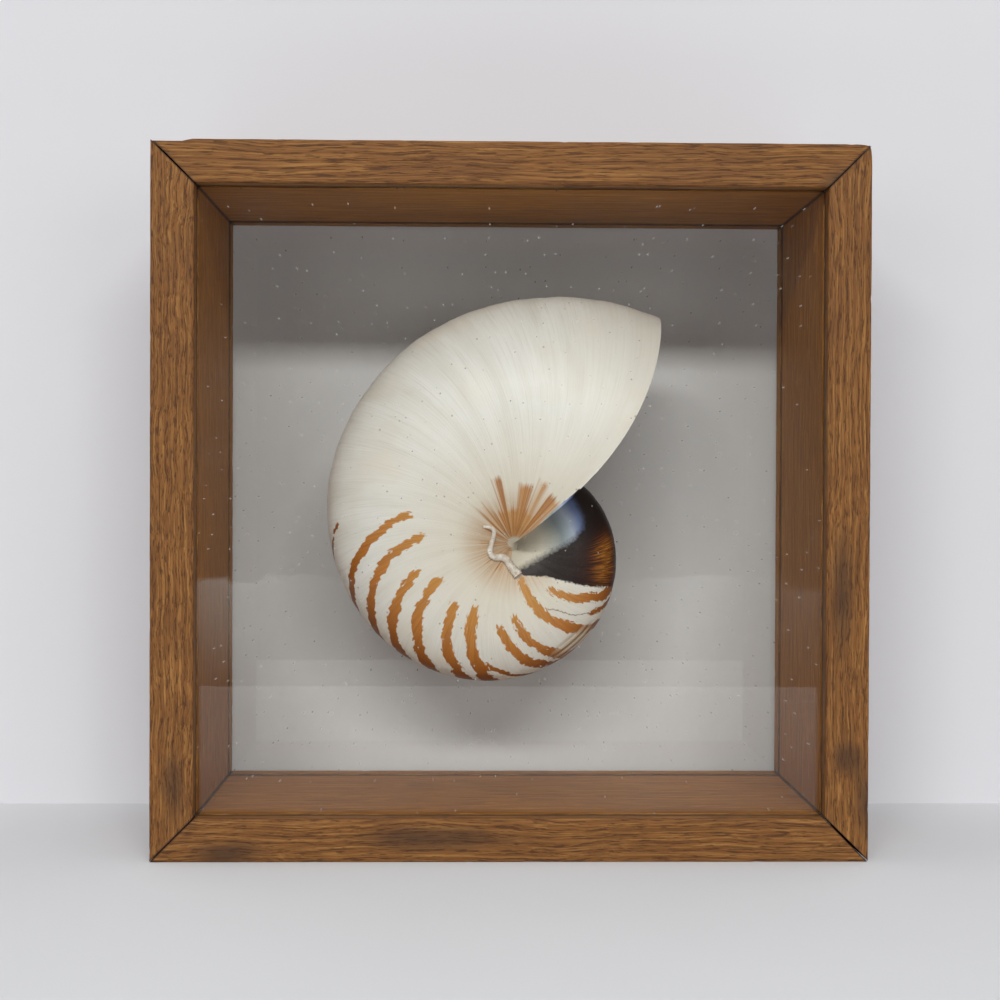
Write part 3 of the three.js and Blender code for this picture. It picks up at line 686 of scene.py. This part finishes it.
def shell_porcelain():
    """Nautilus porcelain, glossy and cream-white, laid down in growth lines. Brown flames stain it,
    thinned at their ends along the growth lines. A black horny film lies where the mouth wraps
    round, worn to amber in places, and pearl shows through by the navel."""
    made, tree = new_material("nautilus_porcelain")
    place = node(tree, "TexCoord").outputs["Object"]
    marks = [
        node(tree, "Attribute", attribute_name=name).outputs["Fac"]
        for name in ("turn", "share", "navel", "flame_edge", "ray", "scar", "crack", "crack_run", "film",
                     "amber", "pearl_patch", "covered")
    ]
    turn, share, navel, flame_edge, ray_edge, scar_edge, crack_line, crack_run = marks[:8]
    film_edge, amber, pearl_edge, covered = marks[8:]
    # Growth lines 0.6 degrees apart and finer, and broad bands 6 degrees apart
    growth_at = node(tree, "CombineXYZ", {0: turn, 1: share})
    fine_at = node(tree, "VectorMath", {0: growth_at, 1: (95, 3.5, 1)}, operation="MULTIPLY")
    growth = node(tree, "TexNoise", {"Vector": fine_at, "Scale": 1.0, "Detail": 4.0, "Roughness": 0.7})
    coarse_at = node(tree, "VectorMath", {0: growth_at, 1: (9, 2.5, 1)}, operation="MULTIPLY")
    coarse = node(tree, "TexNoise", {"Vector": coarse_at, "Scale": 1.0, "Detail": 3.0})
    grit = node(tree, "TexNoise", {"Vector": place, "Scale": 1 / (1.2 * MM), "Detail": 3.0})
    cloud = node(tree, "TexNoise", {"Vector": place, "Scale": 1 / (30 * MM), "Detail": 3.0})

    cream = node(
        tree, "ValToRGB", {"Fac": coarse},
        stops=[(0.3, colour("#dbd9d0")), (0.5, colour("#e2e1da")), (0.75, colour("#e8e7e2"))],
    )
    line = node(tree, "MapRange", {0: growth, 1: 0.34, 2: 0.52, 3: 0.42, 4: 0.0})
    yellowed = node(tree, "MapRange", {0: cloud, 1: 0.5, 2: 0.75, 3: 0.0, 4: 0.35})
    inwards = node(tree, "MapRange", {0: navel, 1: 18.0, 2: 62.0, 3: 0.6, 4: 0.0})
    yellowed = node(tree, "Math", {0: yellowed, 1: inwards}, operation="MAXIMUM")
    # The last growth, by the lip, is duller
    young = node(tree, "MapRange", {0: turn, 1: 0.0, 2: 0.45, 3: 0.6, 4: 0.0})
    # Sparse dark flecks up to 1 mm across
    cells = node(tree, "TexVoronoi", {"Vector": place, "Scale": 1 / (8 * MM)})
    fleck = node(tree, "MapRange", {0: cells.outputs["Distance"], 1: 0.03, 2: 0.07, 3: 0.6, 4: 0.0})

    # Tan halo round the navel, in fine spokes 4 degrees apart
    spoke_at = node(tree, "VectorMath", {0: place, 1: (AXIS_X, 0, AXIS_Z)}, operation="SUBTRACT")
    spoke_at = node(tree, "VectorMath", {0: spoke_at, 1: (1, 0, 1)}, operation="MULTIPLY")
    spoke_at = node(tree, "VectorMath", {0: spoke_at}, operation="NORMALIZE")
    spoke = node(tree, "TexNoise", {"Vector": spoke_at, "Scale": 14.0, "Detail": 3.0, "Roughness": 0.7})
    halo = node(
        tree, "MapRange", {0: navel, 1: 11.0, 2: 28.0, 3: 1.0, 4: 0.0}, interpolation_type="SMOOTHSTEP",
    )
    spokes = node(tree, "MapRange", {0: spoke, 1: 0.35, 2: 0.65, 3: 0.4, 4: 1.0})
    halo = node(tree, "Math", {0: halo, 1: spokes}, operation="MULTIPLY")

    # A flame's edge is serrated by teeth up to 0.9 mm deep, and its brown is streaked with growth
    teeth_at = node(tree, "VectorMath", {0: growth_at, 1: (36, 26, 1)}, operation="MULTIPLY")
    teeth = node(tree, "TexNoise", {"Vector": teeth_at, "Scale": 1.0, "Detail": 2.5, "Roughness": 0.55})
    teeth = node(tree, "MapRange", {0: teeth, 1: 0.3, 2: 0.7, 3: -0.9, 4: 0.9})
    flame = node(tree, "Math", {0: flame_edge, 1: teeth}, operation="ADD")
    flame = node(
        tree, "MapRange", {0: flame, 1: -0.25, 2: 0.3, 3: 1.0, 4: 0.0}, interpolation_type="SMOOTHSTEP",
    )
    rim = node(tree, "Math", {0: share}, operation="ABSOLUTE")
    brown = node(
        tree, "ValToRGB", {"Fac": rim},
        stops=[(0.0, colour("#683610")), (0.16, colour("#8c4e10")), (0.38, colour("#bb7420")),
               (0.65, colour("#cf9440"))],
    )
    streak = node(tree, "MapRange", {0: growth, 1: 0.4, 2: 0.62, 3: 0.0, 4: 0.5})
    brown = node(tree, "Mix", {0: streak, 6: brown, 7: colour("#84450a")}, data_type="RGBA")
    ray = node(tree, "MapRange", {0: spoke, 1: 0.3, 2: 0.7, 3: 1.8, 4: -1.8})
    ray = node(tree, "Math", {0: ray_edge, 1: ray}, operation="ADD")
    ray = node(tree, "MapRange", {0: ray, 1: -1.5, 2: 0.8, 3: 0.9, 4: 0.0})
    ray_tone = node(
        tree, "ValToRGB", {"Fac": spoke},
        stops=[(0.35, colour("#caa066")), (0.5, colour("#b3742a")), (0.65, colour("#8a5216"))],
    )

    # Healed break: tan ribs along the whorl, 4 mm apart, and a dark crack half a millimetre wide
    rib = node(tree, "Math", {0: share, 1: 95.0}, operation="MULTIPLY")
    rib = node(tree, "Math", {0: rib}, operation="SINE")
    rib_tone = node(
        tree, "ValToRGB", {"Fac": node(tree, "MapRange", {0: rib, 1: -1.0, 2: 1.0})},
        stops=[(0.2, colour("#8a6a4a")), (0.6, colour("#d9cbb2"))],
    )
    scar = node(tree, "MapRange", {0: scar_edge, 1: -8.0, 2: 0.0, 3: 0.85, 4: 0.0})
    jitter = node(tree, "MapRange", {0: grit, 1: 0.2, 2: 0.8, 3: -0.5, 4: 0.5})
    crack = node(tree, "Math", {0: crack_line, 1: jitter}, operation="ADD")
    crack = node(tree, "Math", {0: crack}, operation="ABSOLUTE")
    crack = node(tree, "MapRange", {0: crack, 1: 0.08, 2: 0.35, 3: 0.75, 4: 0.0})
    run = node(tree, "MapRange", {0: crack_run, 1: -1.0, 2: 0.0, 3: 1.0, 4: 0.0})
    crack = node(tree, "Math", {0: crack, 1: run}, operation="MULTIPLY")

    # Black film, amber where it is thin
    edge = node(tree, "MapRange", {0: grit, 1: 0.3, 2: 0.7, 3: -0.5, 4: 0.5})
    film = node(tree, "Math", {0: film_edge, 1: edge}, operation="ADD")
    film = node(tree, "MapRange", {0: film, 1: -0.4, 2: 0.4, 3: 1.0, 4: 0.0})
    worn = node(tree, "MapRange", {0: growth, 1: 0.38, 2: 0.62, 3: 0.1, 4: 1.1})
    thin = node(tree, "Math", {0: amber, 1: worn}, operation="MULTIPLY")
    horn = node(
        tree, "ValToRGB", {"Fac": thin},
        stops=[(0.0, colour("#190a04")), (0.25, colour("#3a1b0a")), (0.6, colour("#7c4716")),
               (1.0, colour("#b57c2e"))],
    )

    # Pearl by the navel: grey close in, bluish further out
    ragged = node(tree, "MapRange", {0: cloud, 1: 0.3, 2: 0.7, 3: -2.0, 4: 2.0})
    patch = node(tree, "Math", {0: pearl_edge, 1: ragged}, operation="ADD")
    patch = node(tree, "Math", {0: patch, 1: edge}, operation="ADD")
    patch = node(tree, "MapRange", {0: patch, 1: -2.5, 2: 0.6, 3: 1.0, 4: 0.0})
    under_mouth = node(tree, "MapRange", {0: covered, 1: 0.4, 2: 0.6, 3: 0.0, 4: 1.0})
    patch = node(tree, "Math", {0: patch, 1: under_mouth}, operation="MULTIPLY")
    out = node(tree, "MapRange", {0: navel, 1: 3.0, 2: 36.0})
    shift = node(tree, "MapRange", {0: cloud, 3: -0.12, 4: 0.12})
    out = node(tree, "Math", {0: out, 1: shift}, operation="ADD")
    pearl = node(
        tree, "ValToRGB", {"Fac": out},
        stops=[(0.0, colour("#c6bda9")), (0.3, colour("#cfcab8")), (0.55, colour("#8f9a9c")),
               (0.72, colour("#aebbca")), (0.85, colour("#6b7dab")), (1.0, colour("#20222f"))],
    )

    # The layers in order, each over the one before
    final = cream
    for amount, shade in [
        (line, colour("#c9c4b6")), (yellowed, colour("#dbcfb6")), (young, colour("#cfc8b9")),
        (fleck, colour("#6a5a4c")), (halo, colour("#b58c5c")), (flame, brown), (ray, ray_tone),
        (scar, rib_tone), (crack, colour("#6a3f26")), (film, horn), (patch, pearl),
    ]:
        final = node(tree, "Mix", {0: amount, 6: final, 7: shade}, data_type="RGBA")

    rough = node(tree, "MapRange", {0: cloud, 1: 0.3, 2: 0.7, 3: 0.38, 4: 0.5})
    ridges = node(tree, "Math", {0: scar, 1: rib}, operation="MULTIPLY")
    worn_down = node(tree, "Math", {0: patch, 1: 0.8}, operation="MULTIPLY")
    relief = node(tree, "Math", {0: growth, 1: ridges}, operation="ADD")
    for lost in (crack, worn_down):
        relief = node(tree, "Math", {0: relief, 1: lost}, operation="SUBTRACT")
    bump = node(tree, "Bump", {"Height": relief, "Strength": 0.35, "Distance": 0.25 * MM})
    shine = node(tree, "MapRange", {0: film, 3: 0.5, 4: 0.2})
    surface = node(
        tree, "BsdfPrincipled",
        {"Base Color": final, "Roughness": rough, "Normal": bump, "IOR": 1.53, "Specular IOR Level": shine,
         "Coat Weight": 0.05, "Coat Roughness": 0.25},
    )
    node(tree, "OutputMaterial", {"Surface": surface})
    return made


def shell_pearl():
    """Mother-of-pearl lining the chamber, smooth and satin: silver-white with faint pink and green
    as its layers turn, in slow bands along the growth."""
    made, tree = new_material("nautilus_mother_of_pearl")
    place = node(tree, "TexCoord").outputs["Object"]
    warp = node(tree, "TexNoise", {"Vector": place, "Scale": 1 / (22 * MM), "Detail": 2.0})
    turn = node(tree, "Attribute", attribute_name="turn").outputs["Fac"]
    phase = node(tree, "Math", {0: turn, 1: warp}, operation="ADD")
    wave = node(tree, "Math", {0: phase, 1: 9.0}, operation="MULTIPLY")
    wave = node(tree, "Math", {0: wave}, operation="SINE")
    wave = node(tree, "MapRange", {0: wave, 1: -1.0, 2: 1.0})
    tone = node(
        tree, "ValToRGB", {"Fac": wave},
        stops=[(0.0, colour("#d9cfc6")), (0.35, colour("#e2dcd9")), (0.65, colour("#d3dad6")),
               (1.0, colour("#e6d6d3"))],
    )
    fine = node(tree, "TexNoise", {"Vector": place, "Scale": 1 / (1.5 * MM), "Detail": 3.0})
    bump = node(tree, "Bump", {"Height": fine, "Strength": 0.1, "Distance": 0.1 * MM})
    surface = node(
        tree, "BsdfPrincipled",
        {"Base Color": tone, "Roughness": 0.22, "Metallic": 0.15, "Normal": bump,
         "Sheen Weight": 0.15, "Coat Weight": 0.4, "Coat Roughness": 0.1},
    )
    node(tree, "OutputMaterial", {"Surface": surface})
    return made


shell = carved_shell(shell_porcelain(), shell_pearl())
mark_shell(shell)
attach(shell, "root")
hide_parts("nautilus_shell")

# ---- Worm tube ----
# A chalky tube that a sea worm built on the shell's side, round the navel. It is cemented down along
# its length, grows wider towards its open mouth, and is ringed where it grew.
# The tube's way as (angle above +X in degrees, distance from the shell's axis in mm)
WORM_WAY = [(150, 15.5), (143, 12.3), (146, 10.2), (165, 9.4), (187, 10.4), (204, 11.6), (218, 10.2),
            (230, 7.6), (252, 8.0), (266, 10.6), (275, 12.6), (279, 14.2)]
TUBE_SIDES, TUBE_STEPS, BORE_STEPS = 24, 240, 59


def shell_face(flat):
    """The height y of the shell's front side under each point, from the section at its place."""
    x, z = flat[:, 0] - AXIS_X, flat[:, 2] - AXIS_Z
    reach, angle = np.hypot(x, z), np.arctan2(z, x)
    s = np.full(len(x), 0.3)
    for _ in range(12):
        swing = LIP_SWING * np.sin(math.pi / 2 * (1 - s))
        turn = (angle - LIP_ANGLE + swing) % (2 * math.pi)
        radius = LIP_RADIUS * np.exp(-GROWTH * turn)
        s = 0.5 * s + 0.5 * np.clip(reach / radius, 0, 1)
    sunk = 1 - NAVEL_DIP * (np.maximum(WIDEST - s, 0) / WIDEST) ** 2
    return -HALF_WIDTH * sunk * radius


def worm_tube():
    """A tube along the way: a smooth curve through the listed points, lifted off the shell by most of
    its radius. Rings grow from 0.7 to 2.1 mm and swell every millimetre; at the mouth the tube turns
    in and goes back down as a narrower bore."""
    degrees, reach = np.array(WORM_WAY, float).T
    plan = np.stack([reach * np.cos(np.radians(degrees)), reach * np.sin(np.radians(degrees))], -1) * MM
    # Chaikin's corner cutting, four times over
    for _ in range(4):
        quarter, three = plan[:-1] * 0.75 + plan[1:] * 0.25, plan[:-1] * 0.25 + plan[1:] * 0.75
        middle = np.stack([quarter, three], 1).reshape(-1, 2)
        plan = np.vstack([plan[:1], middle, plan[-1:]])
    length = np.concatenate([[0], np.cumsum(np.linalg.norm(np.diff(plan, axis=0), axis=1))])
    at = np.linspace(0, length[-1], TUBE_STEPS)
    plan = np.stack([np.interp(at, length, plan[:, k]) for k in (0, 1)], -1)
    share = at / at[-1]
    flat = np.stack([plan[:, 0] + AXIS_X, np.full(len(at), -1.0), plan[:, 1] + AXIS_Z], -1)
    radius = (0.7 + 1.4 * share**1.1) * MM * (1 + 0.05 * np.sin(at / (0.9 * MM) * 2 * math.pi))
    middle = flat.copy()
    middle[:, 1] = shell_face(flat) - radius * 0.62
    middle[:, 1] = np.convolve(np.pad(middle[:, 1], 6, mode="edge"), np.ones(13) / 13, "valid")
    bore = slice(None, -BORE_STEPS - 1, -1)
    middle = np.vstack([middle, middle[bore]])
    radius = np.concatenate([radius, radius[bore] * 0.5])
    along = np.gradient(middle, axis=0)
    along[len(at) :] *= -1
    along /= np.maximum(np.linalg.norm(along, axis=1, keepdims=True), 1e-12)
    out = np.cross(along, [0, -1, 0])
    out /= np.linalg.norm(out, axis=1, keepdims=True)
    up = np.cross(out, along)
    a = np.arange(TUBE_SIDES)[None, :, None] * 2 * math.pi / TUBE_SIDES
    rings = middle[:, None] + radius[:, None, None] * (np.cos(a) * out[:, None] + np.sin(a) * up[:, None])
    ends = [np.repeat(middle[[k], None], TUBE_SIDES, axis=1) for k in (0, -1)]
    rings = np.concatenate([ends[0], rings, ends[1]])
    faces = grid_faces(*rings.shape[:2], wrap_columns=True)
    return mesh_piece("worm_tube_visual", rings.reshape(-1, 3), faces, smooth_below=60)


def chalky_tube():
    """A worm's lime tube, laid down in rings: matt and grey-white, darker in blotches a few millimetres
    across.
    """
    made, tree = new_material("worm_tube_lime")
    place = node(tree, "TexCoord").outputs["Object"]
    blotch = node(tree, "TexNoise", {"Vector": place, "Scale": 1 / (2.5 * MM), "Detail": 5.0})
    tone = node(
        tree, "ValToRGB", {"Fac": blotch},
        stops=[(0.3, colour("#b3a593")), (0.5, colour("#d8cfc2")), (0.7, colour("#e9e2d8"))],
    )
    grain = node(tree, "TexNoise", {"Vector": place, "Scale": 1 / (0.4 * MM), "Detail": 3.0})
    bump = node(tree, "Bump", {"Height": grain, "Strength": 0.4, "Distance": 0.15 * MM})
    surface = node(tree, "BsdfPrincipled", {"Base Color": tone, "Roughness": 0.75, "Normal": bump})
    node(tree, "OutputMaterial", {"Surface": surface})
    return made


worm = worm_tube()
dress(worm, chalky_tube())
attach(worm, "root")
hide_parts("worm_tube")

# ---- Silicone dabs ----
# Three dabs of clear silicone hold the shell to the back pane. Each was squeezed between the two, so
# it is spread at both ends and waisted between.
DAB_SIDES = 40


def dab(name):
    """A dab from the shell's side to the pane: rings about a line along Y, whose radius is least
    half-way and flares with the square of the distance from there."""
    low, high = (np.array(corner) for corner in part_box(name))
    middle, reach = (low + high) / 2, (high - low) / 2
    share = np.linspace(-1, 1, 25)[:, None]
    a = np.arange(DAB_SIDES)[None, :] * 2 * math.pi / DAB_SIDES
    wobble = 1 + 0.06 * np.sin(3 * a + 1) + 0.03 * np.sin(5 * a)
    size = (0.68 + 0.26 * share**2) * wobble * np.minimum(1, (1 - np.abs(share)) * 14 + 0.75)
    x = middle[0] + reach[0] * size * np.cos(a)
    z = middle[2] + reach[2] * size * np.sin(a)
    y = middle[1] + reach[1] * share + 0 * a
    rings = np.stack([x, y, z], -1)
    hubs = [np.repeat(rings[[k]].mean(axis=1, keepdims=True), DAB_SIDES, axis=1) for k in (0, -1)]
    rings = np.concatenate([hubs[0], rings, hubs[1]])
    faces = grid_faces(*rings.shape[:2], wrap_columns=True)
    return mesh_piece(name + "_visual", rings.reshape(-1, 3), faces, smooth_below=50)


def clear_silicone():
    """Cured clear silicone: soft, slightly cloudy and glossy, with a few tiny bubbles."""
    made, tree = new_material("silicone_clear_cured")
    place = node(tree, "TexCoord").outputs["Object"]
    bubbles = node(tree, "TexVoronoi", {"Vector": place, "Scale": 1 / (1.6 * MM)})
    bubble = node(tree, "MapRange", {0: bubbles.outputs["Distance"], 1: 0.1, 2: 0.2, 3: 1.0, 4: 0.0})
    tone = node(tree, "Mix", {0: bubble, 6: colour("#dfe3e1"), 7: colour("#f4f6f5")}, data_type="RGBA")
    cloud = node(tree, "MapRange", {0: bubble, 3: 0.25, 4: 0.4})
    surface = node(
        tree, "BsdfPrincipled",
        {"Base Color": tone, "Roughness": cloud, "IOR": 1.41, "Alpha": 0.75, "Subsurface Weight": 0.3,
         "Subsurface Scale": 3 * MM},
    )
    node(tree, "OutputMaterial", {"Surface": surface})
    return made


silicone = clear_silicone()
for n in (1, 2, 3):
    piece = dab(f"silicone_dab_{n}")
    dress(piece, silicone)
    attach(piece, "root")
    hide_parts(f"silicone_dab_{n}")

# ---- Table, wall, light and camera ----
# The box stands on a pale table, 10 mm from a pale wall. A wide flat lamp lights it from the front
# and above, a soft one hangs over it, and one at each side fills in.
WALL_Y, WALL_TOP, TABLE_FRONT, HALF_ROOM = DEPTH / 2 + 10 * MM, 2.2, -0.62, 2.5


def sheet(name, front, far, code):
    """A flat piece of the surroundings as wide as the room, from front to far, each (y, z), in matt
    paint that can't be seen from behind."""
    corners = [(side * HALF_ROOM, *edge) for side, edge in ((-1, front), (1, front), (1, far), (-1, far))]
    mesh = bpy.data.meshes.new(name)
    mesh.from_pydata(corners, [], [list(range(len(corners)))])
    piece = bpy.data.objects.new(name, mesh)
    bpy.context.scene.collection.objects.link(piece)
    made, tree = new_material(name + "_paint")
    place = node(tree, "TexCoord").outputs["Object"]
    mottle = node(tree, "TexNoise", {"Vector": place, "Scale": 6.0, "Detail": 3.0})
    tone = node(tree, "MapRange", {0: mottle, 3: 0.97, 4: 1.03})
    tone = node(tree, "CombineXYZ", {0: tone, 1: tone, 2: tone})
    paint = node(tree, "VectorMath", {0: colour(code)[:3], 1: tone}, operation="MULTIPLY")
    matt = node(tree, "BsdfDiffuse", {"Color": paint})
    hidden = node(tree, "BsdfTransparent")
    facing = node(tree, "NewGeometry").outputs["Backfacing"]
    surface = node(tree, "MixShader", {0: facing, 1: matt, 2: hidden})
    node(tree, "OutputMaterial", {"Surface": surface})
    piece.data.materials.append(made)


sheet("table", (TABLE_FRONT, 0.0), (WALL_Y, 0.0), "#dedfe1")
sheet("wall", (WALL_Y, 0.0), (WALL_Y, WALL_TOP), "#dddde0")


def aim(place, target):
    """The turn that points -Z from place to target, with +Y kept up."""
    x, y, z = (b - a for a, b in zip(place, target))
    return (math.atan2(math.hypot(x, y), -z), 0.0, math.atan2(-x, y))


def lamp(name, place, target, width, height, watts):
    """A flat white lamp of width x height metres at place, facing target."""
    data = bpy.data.lights.new(name, "AREA")
    data.shape, data.size, data.size_y, data.energy = "RECTANGLE", width, height, watts
    made = bpy.data.objects.new(name, data)
    bpy.context.scene.collection.objects.link(made)
    made.location = place
    made.rotation_euler = aim(place, target)


lamp("key_lamp", (-0.1, -2.1, 1.33), (0, 0, 0.15), 2.0, 0.22, 39)
lamp("overhead_lamp", (-0.1, -0.15, 1.5), (0, 0.04, 0.2), 1.6, 0.8, 7)
for side in (-1, 1):
    lamp(f"fill_lamp_{side}", (side * 0.95, -1.9, 0.35), (0, 0, 0.15), 0.8, 0.7, 4)

scene = bpy.context.scene
scene.world = bpy.data.worlds.new("room")
scene.world.use_nodes = True
scene.world.node_tree.nodes.clear()
sky = node(scene.world.node_tree, "Background", {"Color": colour("#f2f4f8"), "Strength": 0.10})
node(scene.world.node_tree, "OutputWorld", {"Surface": sky})
scene.view_settings.view_transform = "Standard"

camera = bpy.data.objects.new("camera", bpy.data.cameras.new("camera"))
scene.collection.objects.link(camera)
camera.location = (-19.15 * MM, -733.07 * MM, 161.26 * MM)
camera.rotation_euler = [math.radians(a) for a in (89.3463, -0.2324, -1.2020)]
camera.data.lens, camera.data.sensor_width = 57.6, 36
camera.data.clip_start = 10 * MM
scene.camera = camera
